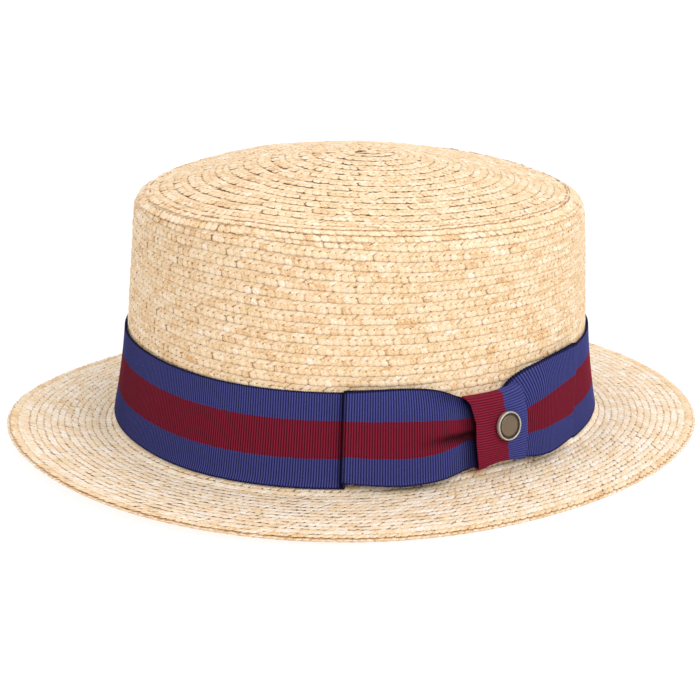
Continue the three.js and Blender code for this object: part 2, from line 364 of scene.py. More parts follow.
# Straw's natural range of colour from a tone of 0 to 1, shared by the plait and the inner walls
strawLook = dict(
    tones=[(0.0, (206, 157, 96)), (0.22, (228, 191, 138)), (0.45, (239, 211, 166)),
           (0.66, (244, 222, 186)), (0.86, (249, 235, 211)), (1.0, (252, 246, 233))],
    blush=(241, 205, 184), blushed=(0.45, 0.7, 0.65), shade=(144, 88, 44),
    lengthwise=5.0, crosswise=0.5, streaks=0.7, specks=1.7, roughness=0.62, polish=0.4, fibreDepth=0.15)


def strawGroup():
    tree, given, result = newTree(
        "strawTone", "ShaderNodeTree",
        {"Tone": "Float", "Grain": "Vector", "Shade": "Float"},
        {"Color": "Color", "Roughness": "Float", "Height": "Float"})
    fibre = fibreAt(tree, given["Grain"], strawLook["lengthwise"], strawLook["crosswise"])
    streak = calc(tree, "SUBTRACT", fibre["Streak"], 0.5)
    speck = calc(tree, "SUBTRACT", fibre["Speck"], 0.5)
    mottle = weigh(tree, streak, strawLook["streaks"], speck, strawLook["specks"])
    tone = calc(tree, "ADD", given["Tone"], mottle)
    ramp = setRamp(addNode(tree, "ShaderNodeValToRGB", {0: tone}), strawLook["tones"])
    blush = fade(tree, fibre["Tint"], *strawLook["blushed"])
    blushed = mixColours(tree, blush, ramp.outputs[0], screenColour(*strawLook["blush"]))
    shaded = mixColours(tree, given["Shade"], blushed, screenColour(*strawLook["shade"]))
    polish = calc(tree, "MULTIPLY", streak, strawLook["polish"])
    tree.links.new(shaded, result["Color"])
    tree.links.new(calc(tree, "SUBTRACT", strawLook["roughness"], polish), result["Roughness"])
    tree.links.new(fibre["Streak"], result["Height"])
    return tree


strawTone = strawGroup()


def finishStraw(tree, shader, tone, grain, shade, bump):
    group = addNode(tree, "ShaderNodeGroup", {
        "Tone": tone, "Grain": grain, "Shade": shade}, node_tree=strawTone)
    tree.links.new(group.outputs["Color"], shader.inputs["Base Color"])
    tree.links.new(group.outputs["Roughness"], shader.inputs["Roughness"])
    height = addNode(tree, "ShaderNodeBump", {
        "Height": group.outputs["Height"], "Strength": bump, "Distance": strawLook["fibreDepth"] * mm})
    tree.links.new(height.outputs[0], shader.inputs["Normal"])
    return height


# Painted shade on a splint: start and end of each fade over its place in the row, and the amount if not whole
plaitShade = dict(
    beside=(0.55, 1.0, 0.2), below=(0.2, -0.25, 0.33), covered=(0.42, 0.15, 0.65),
    corner=(0.5, 0.86), crossing=(1.1, 0.3), dots=(0.05, 0.7),  # painted shade in a small wedge where splints cross
    scatter=977.0, grainShift=(91.0, 57.0, 33.0), bump=0.35)


def plaitMaterial():
    material, tree, shader = newMaterial("plaitedStraw", Specular_IOR_Level=0.45, Coat_Weight=0.06)
    tone = readValue(tree, "tone", "Fac")
    parts = addNode(tree, "ShaderNodeSeparateXYZ", {0: readValue(tree, "place")}).outputs
    # Painted shade beside each splint, along its lower edge, under the row above and in wedges where splints
    # cross
    aside = calc(tree, "ABSOLUTE", parts[0])
    beside = fade(tree, aside, *plaitShade["beside"])
    below = fade(tree, parts[1], *plaitShade["below"])
    covered = fade(tree, parts[2], *plaitShade["covered"])
    fromMiddle = calc(tree, "ABSOLUTE", calc(tree, "SUBTRACT", parts[1], parts[2]))
    chance = addNode(tree, "ShaderNodeTexWhiteNoise", {
        "W": calc(tree, "MULTIPLY", tone, plaitShade["scatter"])}, noise_dimensions="1D").outputs["Value"]
    corner = calc(tree, "MULTIPLY", fade(tree, aside, *plaitShade["corner"]),
                  fade(tree, fromMiddle, *plaitShade["crossing"]))
    wedge = calc(tree, "MULTIPLY", corner, fade(tree, chance, *plaitShade["dots"]))
    shade = calc(tree, "ADD", calc(tree, "ADD", beside, wedge), calc(tree, "ADD", below, covered))
    shift = addNode(tree, "ShaderNodeVectorMath", {
        0: tone, 1: plaitShade["grainShift"]}, operation="MULTIPLY").outputs[0]
    grain = addNode(tree, "ShaderNodeVectorMath", {
        0: readValue(tree, "grain"), 1: shift}, operation="ADD").outputs[0]
    finishStraw(tree, shader, tone, grain, shade, plaitShade["bump"])
    return material


# The plait drawn on faces that carry no splints of their own, by the rows map: x along, y across rows
# Its low tone is painted shade where this face shows in the gaps between splints; the same tone colours the
# inner walls
wallPlait = dict(lean=1.1, slide=0.37, groove=(0.36, 0.5, 0.45), seam=(0.4, 0.5, 0.7),
                 tone=0.12, toneSpread=0.42, grain=(3.0, 3.0, 0.0), bump=0.3, relief=0.8, depth=0.3)


def plaitedWallMaterial():
    material, tree, shader = newMaterial("plaitedWall", Specular_IOR_Level=0.35)
    rows = addNode(tree, "ShaderNodeUVMap", uv_map="rows").outputs[0]
    parts = addNode(tree, "ShaderNodeSeparateXYZ", {0: rows}).outputs
    chevron = calc(tree, "ABSOLUTE", calc(tree, "SUBTRACT", calc(tree, "FRACT", parts[1]), 0.5))
    lean = calc(tree, "ADD", parts[0], calc(tree, "MULTIPLY", chevron, wallPlait["lean"]))
    half = calc(tree, "FLOOR", calc(tree, "MULTIPLY", parts[1], 2.0))
    slid = calc(tree, "ADD", lean, calc(tree, "MULTIPLY", half, wallPlait["slide"]))
    cell = addNode(tree, "ShaderNodeCombineXYZ", {0: calc(tree, "FLOOR", slid), 1: half}).outputs[0]
    chance = addNode(tree, "ShaderNodeTexWhiteNoise", {"Vector": cell}, noise_dimensions="3D").outputs[0]
    fromMiddle = calc(tree, "ABSOLUTE", calc(tree, "SUBTRACT", calc(tree, "FRACT", slid), 0.5))
    # painted shade in the drawn grooves and along the row seams
    dark = calc(tree, "MAXIMUM", fade(tree, fromMiddle, *wallPlait["groove"]),
                fade(tree, chevron, *wallPlait["seam"]))
    tone = calc(tree, "ADD", wallPlait["tone"], calc(tree, "MULTIPLY", chance, wallPlait["toneSpread"]))
    grain = addNode(tree, "ShaderNodeVectorMath", {0: rows, 1: wallPlait["grain"]}, operation="MULTIPLY")
    bump = finishStraw(tree, shader, tone, grain.outputs[0], dark, wallPlait["bump"])
    sunk = addNode(tree, "ShaderNodeBump", {
        "Height": calc(tree, "SUBTRACT", 1.0, dark), "Strength": wallPlait["relief"],
        "Distance": wallPlait["depth"] * mm, "Normal": bump.outputs[0]})
    tree.links.new(sunk.outputs[0], shader.inputs["Normal"])
    return material


plaitedStraw = plaitMaterial()
plaitedWall = plaitedWallMaterial()


# Straw walls: a plain face under the splints, and lapped rows inside the crown and under the brim
walls = dict(sides=144, sunk=0.85, brimSunk=0.6, rowPitch=4.15, brimPitch=2.8, brimWall=1.95, mapPitch=3.0,
             lap=0.45, sag=0.6, lapStep=0.12, crownStep=3.0, brimStep=2.0,
             brimGap=0.3, brimEnd=0.9, brimBevel=0.5, mergeWithin=0.002)


def lappedRows(start, end, pitch, lift):
    rows = max(1, round((end - start) / pitch))
    edges = [start + (end - start) * i / rows for i in range(rows + 1)]
    points = []
    for first, last in zip(edges, edges[1:]):
        points += [(first, lift), ((first + last) / 2, lift - walls["lap"] * walls["sag"]),
                   (last - walls["lapStep"], lift - walls["lap"])]
    return points + [(end, lift)]


def strawWallPiece(name, stations, pitch, closedAtAxis):
    sides = walls["sides"]
    angle = np.arange(sides) * fullTurn / sides
    points = np.concatenate([onStraw(np.full_like(angle, walked), angle, lift) for walked, lift in stations])
    faces = gridFaces(len(stations), sides, closeRows=not closedAtAxis, closeColumns=True)
    piece = addPiece(name, points, faces, sharpAngle=30)
    rowsMap = piece.data.uv_layers.new(name="rows")
    around = fullTurn * latheRadius / walls["mapPitch"]
    for face in piece.data.polygons:
        columns = [piece.data.loops[i].vertex_index % sides for i in face.loop_indices]
        wraps = max(columns) - min(columns) > 1
        for i, column in zip(face.loop_indices, columns):
            row = piece.data.loops[i].vertex_index // sides
            turn = column / sides + (1 if wraps and column == 0 else 0)
            rowsMap.data[i].uv = (turn * around, stations[row][0] / pitch)
    cleanMesh(piece, walls["mergeWithin"])
    piece.data.materials.append(plaitedWall)
    return piece


def plainStations(start, end, step, lift):
    return [(walked, lift) for walked in np.linspace(start, end, max(2, int((end - start) / step)))]


def makeCrownWall():
    foot = walkToHeight(hat["crownFoot"])
    inner = lappedRows(0.0, foot, walls["rowPitch"], walls["lap"] - hat["wall"])
    outer = plainStations(0.0, foot, walls["crownStep"], -walls["sunk"])
    return strawWallPiece("crown_wall", inner + outer[::-1], walls["rowPitch"], closedAtAxis=True)


def makeBrimWall():
    start = walkToHeight(hat["crownFoot"] - walls["brimGap"])
    end = walkEnd["brim"] - walls["brimEnd"]
    outer = plainStations(start, end, walls["brimStep"], -walls["brimSunk"])
    inner = lappedRows(start, end - walls["brimBevel"], walls["brimPitch"], walls["lap"] - walls["brimWall"])
    return strawWallPiece("brim_wall", outer + inner[::-1], walls["brimPitch"], closedAtAxis=False)


crownWall = makeCrownWall()
brimWall = makeBrimWall()
print("straw walls made")


# Plait: a spiral guide over the straw, with slanting splints along every row.
# Two columns of splints show in the crown's rows, and one in the narrower rows of the brim.
plait = dict(
    rowPitch=4.15, tipPitch=5.6, brimPitch=2.8, splintPitch=3.0, overlap=0.5, columnLap=0.25,
    innerLevel=-0.3, outerLevel=0.22, bury=0.3, edgeBury=1.4, crown=0.12, overhang=0.3, tuck=0.5,
    guideStep=math.radians(2.5), closing=1.003, least=0.2, wander=0.05, twist=1.5, slide=0.13,
    lengths=(0.95, 1.12), widths=(0.96, 1.06), heights=(0.9, 1.15),
    patch=0.95, patchScale=75.0, patchDetail=2.0, patchShift=7.3, single=0.15, tone=0.45, brimTone=0.73,
    tipRelief=0.6, sideRelief=0.8, brimRelief=0.5,
    lean=5.0, tipStart=2.6, tipEnd=-4.5, brimStart=2.5, brimEnd=5.6, sideEnd=42.5)
splintKinds = dict(
    inner=dict(fromEdge=None, toCover=plait["tuck"], slant=0.9, shares=(0, 0.4, 1),
               narrowing=(1, 1, 1), sides=1.0),
    edge=dict(fromEdge=plait["overhang"], toCover=None, slant=-0.3, shares=(0, 0.27, 0.75, 1),
              narrowing=(0.6, 0.97, 1, 1), sides=1.0),
    whole=dict(fromEdge=plait["overhang"], toCover=plait["tuck"], slant=0.9, shares=(0, 0.3, 0.8, 1),
               narrowing=(0.5, 0.96, 1, 1), sides=0.6))


def splintPiece(name, row, kind, relief):
    kind = splintKinds[kind]
    half = (plait["splintPitch"] + plait["overlap"]) / 2
    low = -plait["columnLap"] if kind["fromEdge"] is None else -row / 2 - kind["fromEdge"]
    high = plait["columnLap"] if kind["toCover"] is None else row / 2 + kind["toCover"]
    points, grain, place = [], [], []
    for share, width in zip(kind["shares"], kind["narrowing"]):
        y = low + (high - low) * share
        level = plait["innerLevel"] + (plait["outerLevel"] - plait["innerLevel"]) * (0.5 - y / row)
        for u in (-1, -0.5, 0.5, 1):
            x = u * half * width + kind["slant"] * (y - (low + high) / 2)
            rim = abs(u) == 1 or share in (0, 1)
            drop = plait["bury"] * (plait["edgeBury"] if kind["fromEdge"] and share == 0 else 1)
            points.append((x, y, relief * (level - drop if rim else level + plait["crown"])))
            grain.append((u * half * width, y, 0))
            # mm from the row's own edge and from the row above
            place.append((u * kind["sides"], y + row / 2, row / 2 - y))
    last = 4 * (len(kind["shares"]) - 1)
    ring = [0, 1, 2, 3, *range(7, last, 4), *range(last + 3, last - 1, -1), *range(last - 4, 0, -4)]
    piece = addPiece(name, points, gridFaces(len(kind["shares"]), 4) + [tuple(ring[::-1])], sharpAngle=60)
    keepValues(piece, "grain", grain)
    keepValues(piece, "place", place)
    return piece


def plaitTree():
    tree, given, result = newTree(
        "plaitRows", "GeometryNodeTree",
        {"Guide": "Geometry", "Inner Splint": "Object", "Edge Splint": "Object", "Pitch": "Float",
         "Wander": "Float", "Tone": "Float", "Seed": "Int", "Straw": "Material"},
        {"Plait": "Geometry"})

    def named(name, kind):
        return addNode(tree, "GeometryNodeInputNamedAttribute", {"Name": name}, data_type=kind).outputs[0]

    def chance(low, high, salt):
        seed = calc(tree, "ADD", given["Seed"], salt)
        return addNode(tree, "FunctionNodeRandomValue", {
            2: low, 3: high, 8: seed}, data_type="FLOAT").outputs[1]

    line = addNode(tree, "GeometryNodeMeshToCurve", {0: given["Guide"]})
    spaced = addNode(tree, "GeometryNodeResampleCurve",
                     {0: line.outputs[0], "Length": given["Pitch"]}, mode="LENGTH")
    lay = addNode(tree, "FunctionNodeAxesToRotation",
                  {0: named("facing", "FLOAT_VECTOR"), 1: named("lay", "FLOAT_VECTOR")},
                  primary_axis="Z", secondary_axis="X")
    length = addNode(tree, "GeometryNodeSplineParameter").outputs["Length"]
    joined = addNode(tree, "GeometryNodeJoinGeometry")
    for column, source in enumerate(("Inner Splint", "Edge Splint")):
        salt = 10.0 * column
        patch = addNode(tree, "ShaderNodeTexNoise", {
            "W": calc(tree, "ADD", length, plait["patchShift"] * column),
            "Scale": plait["patchScale"], "Detail": plait["patchDetail"]}, noise_dimensions="1D").outputs[0]
        spread = calc(tree, "MULTIPLY", calc(tree, "SUBTRACT", patch, 0.5), plait["patch"])
        single = calc(tree, "MULTIPLY", chance(-1.0, 1.0, salt + 1), plait["single"])
        tone = calc(tree, "ADD", calc(tree, "ADD", spread, single), given["Tone"])
        toned = addNode(tree, "GeometryNodeStoreNamedAttribute", {
            "Geometry": spaced.outputs[0], "Name": "tone", "Value": tone}, data_type="FLOAT", domain="POINT")
        swing = addNode(tree, "ShaderNodeCombineXYZ", {
            axis: calc(tree, "MULTIPLY", chance(-most, most, salt + 2 + axis), given["Wander"])
            for axis, most in enumerate((1.0, 1.0, plait["twist"]))})
        swingTurn = addNode(tree, "FunctionNodeEulerToRotation", {0: swing.outputs[0]})
        swung = addNode(tree, "FunctionNodeRotateRotation", {
            0: lay.outputs[0], 1: swingTurn.outputs[0]}, rotation_space="LOCAL")
        width = calc(tree, "MULTIPLY", named("rowWidth", "FLOAT"), chance(*plait["widths"], salt + 8))
        size = addNode(tree, "ShaderNodeCombineXYZ", {
            0: chance(*plait["lengths"], salt + 5), 1: width, 2: chance(*plait["heights"], salt + 6)})
        splint = addNode(tree, "GeometryNodeObjectInfo", {0: given[source], "As Instance": True})
        laid = addNode(tree, "GeometryNodeInstanceOnPoints", {
            "Points": toned.outputs[0], "Instance": splint.outputs["Geometry"],
            "Rotation": swung.outputs[0], "Scale": size.outputs[0]})
        shift = calc(tree, "ADD", chance(-plait["slide"], plait["slide"], salt + 7), 0.5 * column)
        slide = addNode(tree, "ShaderNodeCombineXYZ", {0: calc(tree, "MULTIPLY", shift, given["Pitch"])})
        slid = addNode(tree, "GeometryNodeTranslateInstances", {
            0: laid.outputs[0], "Translation": slide.outputs[0], "Local Space": True})
        tree.links.new(slid.outputs[0], joined.inputs[0])
    real = addNode(tree, "GeometryNodeRealizeInstances", {0: joined.outputs[0]})
    finished = addNode(tree, "GeometryNodeSetMaterial", {0: real.outputs[0], "Material": given["Straw"]})
    tree.links.new(finished.outputs[0], result["Plait"])
    return tree


plaitRows = plaitTree()


# A spiral that closes with a level last row, or a leaning one whose rows come out from under the tip's
def plaitPiece(name, start, end, row, kinds, seed, tone=plait["tone"], relief=1.0, phase=0.0, lift=0.0,
               lean=0.0):
    turns = (end - start) / row + (0 if lean else plait["closing"])
    angle = np.arange(phase, phase + fullTurn * turns, plait["guideStep"])
    middle = np.minimum(start + row * (angle - phase) / fullTurn, end)

    def onRow(shift):
        return np.maximum(middle + lean * np.cos(angle) + shift, 0)

    points = onStraw(onRow(0), angle, lift)
    lay = np.gradient(points, axis=0)
    lay /= np.linalg.norm(lay, axis=1)[:, None]
    inner, outer = onStraw(onRow(-row / 2), angle), onStraw(onRow(row / 2), angle)
    shows = onRow(row / 2) > (tipEdge + plait["least"] if lean else 0)
    edges = [(i, i + 1) for i in range(len(points) - 1) if shows[i] and shows[i + 1]]
    piece = addPiece(name, points, [], edges)
    keepValues(piece, "facing", strawFacing(np.maximum(onRow(0), plait["least"]), angle))
    keepValues(piece, "lay", lay)
    keepValues(piece, "rowWidth", np.linalg.norm(outer - inner, axis=1) / row)
    splints = [splintPiece(name + "_" + kind, row, kind, relief) for kind in kinds]
    values = {"Pitch": plait["splintPitch"] * mm, "Wander": plait["wander"], "Tone": tone, "Seed": seed,
              "Straw": plaitedStraw}
    values.update(zip(("Edge Splint", "Inner Splint"), splints))
    growPiece(piece, plaitRows, values)
    for splint in splints:
        bpy.data.objects.remove(splint)
    return piece


crownKinds, brimKinds = ("edge", "inner"), ("whole",)
tipLast = walkEnd["tip"] - plait["tipEnd"]
tipEdge = tipLast + plait["tipPitch"] / 2
tipPlait = plaitPiece(
    "tip_plait", plait["tipStart"], tipLast, plait["tipPitch"], crownKinds, seed=11,
    relief=plait["tipRelief"])
sideStart = tipEdge - plait["rowPitch"] / 2 - plait["lean"]
sidePlait = plaitPiece(
    "side_plait", sideStart, walkToHeight(plait["sideEnd"]), plait["rowPitch"], crownKinds, seed=23,
    relief=plait["sideRelief"], lean=plait["lean"])
brimPlait = plaitPiece(
    "brim_plait", walkEnd["side"] + plait["brimStart"], walkEnd["brim"] - plait["brimEnd"],
    plait["brimPitch"], brimKinds, seed=37, tone=plait["brimTone"], relief=plait["brimRelief"])

# Edge of the brim: a finishing row over a paler one that peeps out below it
edge = dict(rowWidth=3.2, show=1.0, rowTone=0.48, rowLift=0.12, underTone=0.62, underDepth=0.72,
            seam=2.4, seamStep=0.013)


def makeEdge():
    reach = plait["overhang"] + edge["rowWidth"] / 2
    over, under = walkEnd["brim"] - edge["show"] - reach, walkEnd["brim"] - reach
    row = plaitPiece("edge_row", over, over, edge["rowWidth"], brimKinds, seed=41,
                     tone=edge["rowTone"], phase=edge["seam"], lift=edge["rowLift"])
    lower = plaitPiece("edge_lower_row", under, under, edge["rowWidth"], brimKinds, seed=43,
                       tone=edge["underTone"], phase=edge["seam"] + edge["seamStep"],
                       lift=-edge["underDepth"])
    return [row, lower]


strawPieces = [crownWall, brimWall, tipPlait, sidePlait, brimPlait] + makeEdge()
print("plait laid")

# Ribbon: ribbed cloth striped navy, burgundy, navy, laid on the crown's foot
ribbon = dict(
    thick=0.6, off=0.95, ribPitch=1.02, ribHeight=0.3, nudge=0.001, samples=4, bandLanes=14, loopLanes=28,
    stripeLow=0.3, stripeHigh=0.7, width=40.0,
    bandRaised=[(-2.2, 2.2, 0.5), (0.94, 1.5, 0.35)],  # angle, reach and spread where the lower edge lifts
    bandPaintedShade=(-2.35, 0.7, 0.5),  # angle, amount and spread of painted shade on the band's far side
    # each colour beside a darker copy, mixed in by painted shade and by wear
    navy=(69, 72, 137), navyDeep=(15, 14, 44), burgundy=(130, 29, 52), burgundyDeep=(48, 6, 16),
    ragged=0.008, stripeSoft=0.004, ribShade=(0.2, 0.95), border=(0.482, 0.492, 0.75), wear=0.9,
    lengthwise=0.4, crosswise=4.0, streaks=0.7, specks=0.3, roughness=0.5, roughWear=0.3,
    bump=0.25, fibreDepth=0.1)


def ribbonMaterial():
    material, tree, shader = newMaterial("stripedRibbon", Specular_IOR_Level=0.06)
    weave = readValue(tree, "weave")
    parts = addNode(tree, "ShaderNodeSeparateXYZ", {0: weave}).outputs
    rib = calc(tree, "DIVIDE", parts[0], ribbon["ribPitch"])
    chance = addNode(tree, "ShaderNodeTexWhiteNoise", {
        "W": calc(tree, "FLOOR", rib)}, noise_dimensions="1D").outputs["Value"]
    ragged = calc(tree, "MULTIPLY", calc(tree, "SUBTRACT", chance, 0.5), ribbon["ragged"])
    middle = (ribbon["stripeLow"] + ribbon["stripeHigh"]) / 2
    reach = (ribbon["stripeHigh"] - ribbon["stripeLow"]) / 2
    across = calc(tree, "SUBTRACT", calc(tree, "ADD", parts[1], ragged), middle)
    stripe = fade(tree, calc(tree, "ABSOLUTE", across),
                  reach + ribbon["stripeSoft"], reach - ribbon["stripeSoft"])
    # painted shade in the valleys between the ribs
    fromRib = calc(tree, "SUBTRACT", calc(tree, "MULTIPLY", calc(tree, "FRACT", rib), 2.0), 1.0)
    valley = fade(tree, calc(tree, "ABSOLUTE", fromRib), *ribbon["ribShade"])
    scaled = addNode(tree, "ShaderNodeVectorMath", {
        0: weave, 1: (1.0, ribbon["width"], 1.0)}, operation="MULTIPLY").outputs[0]
    fibre = fibreAt(tree, scaled, ribbon["lengthwise"], ribbon["crosswise"])
    worn = weigh(tree, fibre["Streak"], ribbon["streaks"], fibre["Speck"], ribbon["specks"])
    wear = calc(tree, "MULTIPLY", calc(tree, "SUBTRACT", 0.5, worn), ribbon["wear"])
    fromMiddle = calc(tree, "ABSOLUTE", calc(tree, "SUBTRACT", parts[1], 0.5))
    border = fade(tree, fromMiddle, *ribbon["border"])
    # painted shade in rib valleys, folds and on the far side, with wear and darker edges, mixes in the dark
    # copies
    shadeAndWear = calc(tree, "ADD", calc(tree, "ADD", calc(tree, "ADD", valley, wear), border), parts[2])
    shades = [mixColours(tree, shadeAndWear, screenColour(*ribbon[colour]), screenColour(*ribbon[colour + "Deep"]))
              for colour in ("navy", "burgundy")]
    tree.links.new(mixColours(tree, stripe, *shades), shader.inputs["Base Color"])
    rough = calc(tree, "ADD", ribbon["roughness"], calc(tree, "MULTIPLY", worn, ribbon["roughWear"]))
    tree.links.new(rough, shader.inputs["Roughness"])
    bump = addNode(tree, "ShaderNodeBump", {
        "Height": fibre["Streak"], "Strength": ribbon["bump"], "Distance": ribbon["fibreDepth"] * mm})
    tree.links.new(bump.outputs[0], shader.inputs["Normal"])
    return material


stripedRibbon = ribbonMaterial()


def ribTree():
    tree, given, result = newTree(
        "ribbedCloth", "GeometryNodeTree",
        {"Cloth": "Geometry", "Rib Pitch": "Float", "Rib Height": "Float", "Finish": "Material"},
        {"Ribbed": "Geometry"})
    weave = addNode(tree, "GeometryNodeInputNamedAttribute", {"Name": "weave"}, data_type="FLOAT_VECTOR")
    along = addNode(tree, "ShaderNodeSeparateXYZ", {0: weave.outputs[0]}).outputs[0]
    rib = calc(tree, "ADD", calc(tree, "DIVIDE", along, given["Rib Pitch"]), ribbon["nudge"])
    phase = calc(tree, "FRACT", rib)
    fromTop = calc(tree, "SUBTRACT", calc(tree, "MULTIPLY", phase, 2.0), 1.0)
    rise = calc(tree, "SUBTRACT", 0.5, calc(tree, "MULTIPLY", fromTop, fromTop))
    reach = calc(tree, "MULTIPLY", rise, given["Rib Height"])
    square = addNode(tree, "GeometryNodeInputNormal").outputs[0]
    push = addNode(tree, "ShaderNodeVectorMath", {0: square, "Scale": reach}, operation="SCALE")
    pushed = addNode(tree, "GeometryNodeSetPosition", {"Geometry": given["Cloth"], "Offset": push.outputs[0]})
    real = addNode(tree, "GeometryNodeRealizeInstances", {0: pushed.outputs[0]})
    finished = addNode(tree, "GeometryNodeSetMaterial", {0: real.outputs[0], "Material": given["Finish"]})
    tree.links.new(finished.outputs[0], result["Ribbed"])
    return tree


ribbedCloth = ribTree()


def ribbonOut(height, off):
    below = np.clip(footHeight - height, 0, None)
    curved = footOut - np.sqrt(np.clip((hat["footRadius"] - off) ** 2 - below ** 2, 0.01, None))
    return np.where(below > 0, curved, wallOut(height) + off)


def bandOut(height):
    return ribbonOut(height, hat["ribbonGap"] + hat["ribbonThick"])


roundAngles = np.linspace(-math.pi, math.pi, hat["steps"]["round"])
roundRadii = ovalRadius(roundAngles) + bandOut(hat["bandMiddle"])
roundWalk = np.concatenate([[0], np.cumsum((roundRadii[1:] + roundRadii[:-1]) / 2 * np.diff(roundAngles))])
bandLength = roundWalk[-1]
roundWalk -= np.interp(0, roundAngles, roundWalk)


def onBand(along, height, out):  # along the band from the bow's middle, standing out from its face
    angle = np.interp(along + hat["bowMiddle"], roundWalk, roundAngles)
    radius = ovalRadius(angle) + bandOut(height) + out
    return np.stack([radius * np.cos(angle), radius * np.sin(angle), height + 0 * angle], -1)


# The cloth's middle surface as rows of lanes becomes a closed sheet with ribs across it
def clothPiece(name, middle, along, share, closed, paintedShade=0.0):
    rows, lanes = middle.shape[:2]
    if closed:
        lengthwise = np.roll(middle, -1, 0) - np.roll(middle, 1, 0)
    else:
        lengthwise = np.gradient(middle, axis=0)
    square = np.cross(lengthwise, np.gradient(middle, axis=1))
    square /= np.linalg.norm(square, axis=2)[:, :, None]
    half = ribbon["thick"] / 2
    skin = np.concatenate([middle + square * half, (middle - square * half)[:, ::-1]], 1)
    faces = gridFaces(rows, 2 * lanes, closeRows=closed, closeColumns=True)
    if not closed:
        faces += [tuple(range(2 * lanes))[::-1], tuple(range((rows - 1) * 2 * lanes, rows * 2 * lanes))]
    piece = addPiece(name, skin.reshape(-1, 3), faces, sharpAngle=75)
    cleanMesh(piece)
    weave = np.zeros((rows, 2 * lanes, 3))
    weave[:, :, 0] = along[:, None]
    weave[:, :, 1] = np.concatenate([share, share[::-1]])
    weave[:, :lanes, 2] = paintedShade  # painted shade on the outer face, as in creases, folds and beside the knot; below zero it is painted light
    keepValues(piece, "weave", weave.reshape(-1, 3))
    return growPiece(piece, ribbedCloth, {
        "Rib Pitch": ribbon["ribPitch"], "Rib Height": ribbon["ribHeight"] * mm, "Finish": stripedRibbon})


# Bow: for each loop, from the knot outwards, its edges, the standoff of both layers,
# the crease and its place, the roll of the top edge, and the stripe
bowLoops = dict(
    front=dict(
        end=-64.0, lean=0.0, gather=0.0, shadeTo=20.0, shadeOver=9.0,
        along=[0, 11, 14.5, 18, 22.5, 28, 35, 42, 53, 64],
        low=[9.6, 9.5, 9.3, 8.9, 8.3, 7.6, 7.2, 7.0, 7.6, 8.8],
        high=[36.4, 36.8, 37.5, 38.8, 40.8, 42.6, 43.8, 44.5, 44.8, 45.0],
        back=0.4,
        front=[2.8, 2.8, 2.9, 3.4, 4.4, 5.0, 4.9, 4.3, 3.2, 2.8],
        crease=[2.0, 2.0, 2.0, 2.0, 1.8, 0.9, 0.2, 0, 0, 0],
        valley=[0.47, 0.47, 0.465, 0.455, 0.45, 0.44, 0.43, 0.42, 0.42, 0.42],
        roll=[1, 1, 1, 1, 1, 1, 1, 0.95, 0.8, 0.3],
        stripeLow=[0.41, 0.405, 0.395, 0.37, 0.342, 0.31, 0.292, 0.288, 0.288, 0.29],
        stripeHigh=[0.74, 0.735, 0.73, 0.71, 0.693, 0.684, 0.681, 0.681, 0.681, 0.681]),
    back=dict(
        end=49.5, lean=0.32, gather=0.5, shadeTo=0.0, shadeOver=1.0,
        along=[0, 10, 14, 18, 25, 34, 42, 49.5],
        low=[9.8, 9.5, 9.0, 8.4, 7.9, 7.8, 8.2, 8.7],
        high=[37.0, 38.2, 40.2, 42.4, 44.4, 45.4, 45.8, 46.0],
        back=0.4,
        front=[3.4, 3.9, 4.5, 4.9, 4.8, 4.0, 3.2, 2.8],
        crease=[0.5, 0.5, 0.5, 0.4, 0.2, 0, 0, 0],
        valley=0.3,
        roll=[1, 1, 1, 1, 1, 0.95, 0.8, 0.3],
        stripeLow=[0.31, 0.305, 0.303, 0.3, 0.288, 0.287, 0.27, 0.262],
        stripeHigh=[0.62, 0.62, 0.62, 0.625, 0.637, 0.658, 0.668, 0.672]))
bow = dict(
    layerSteps=80, foldSteps=24, tuck=0.5, frontOver=1.5, clear=0.7,
    creaseReach=0.1, creasePower=1.3, rollFrom=0.7, rollPower=2,
    creaseShade=1.1, rollShade=0.6, shadePower=1.5, foldReach=1.4, foldShade=1.0, foldSpread=0.9,
    middle=27.0, leanFrom=16.0, gatherAbove=30.0, gatherTo=26.0, gatherOver=12.0)


def loopValue(loop, along, column):
    stations = np.array(loop["along"], float)
    values = np.zeros_like(stations) + loop[column]
    slopes = np.gradient(values, stations)
    distance = np.clip(np.abs(along), stations[0], stations[-1])
    i = np.clip(np.searchsorted(stations, distance), 1, len(stations) - 1) - 1
    width = stations[i + 1] - stations[i]
    t = (distance - stations[i]) / width
    before = (1 + 2 * t) * (1 - t) ** 2 * values[i] + t * (1 - t) ** 2 * width * slopes[i]
    after = t * t * (3 - 2 * t) * values[i + 1] - t * t * (1 - t) * width * slopes[i + 1]
    return before + after


def spacedAlong(line, closed=False):
    if closed:
        line = np.concatenate([line, line[:1]])
    walked = np.concatenate([[0], np.cumsum(np.linalg.norm(np.diff(line, axis=0), axis=1))])
    ribs = max(1, round(walked[-1] / ribbon["ribPitch"]))
    count = ribs * ribbon["samples"]
    share = np.arange(count if closed else count + 1) / count
    columns = [np.interp(share * walked[-1], walked, column) for column in line.T]
    return share * ribs * ribbon["ribPitch"], columns


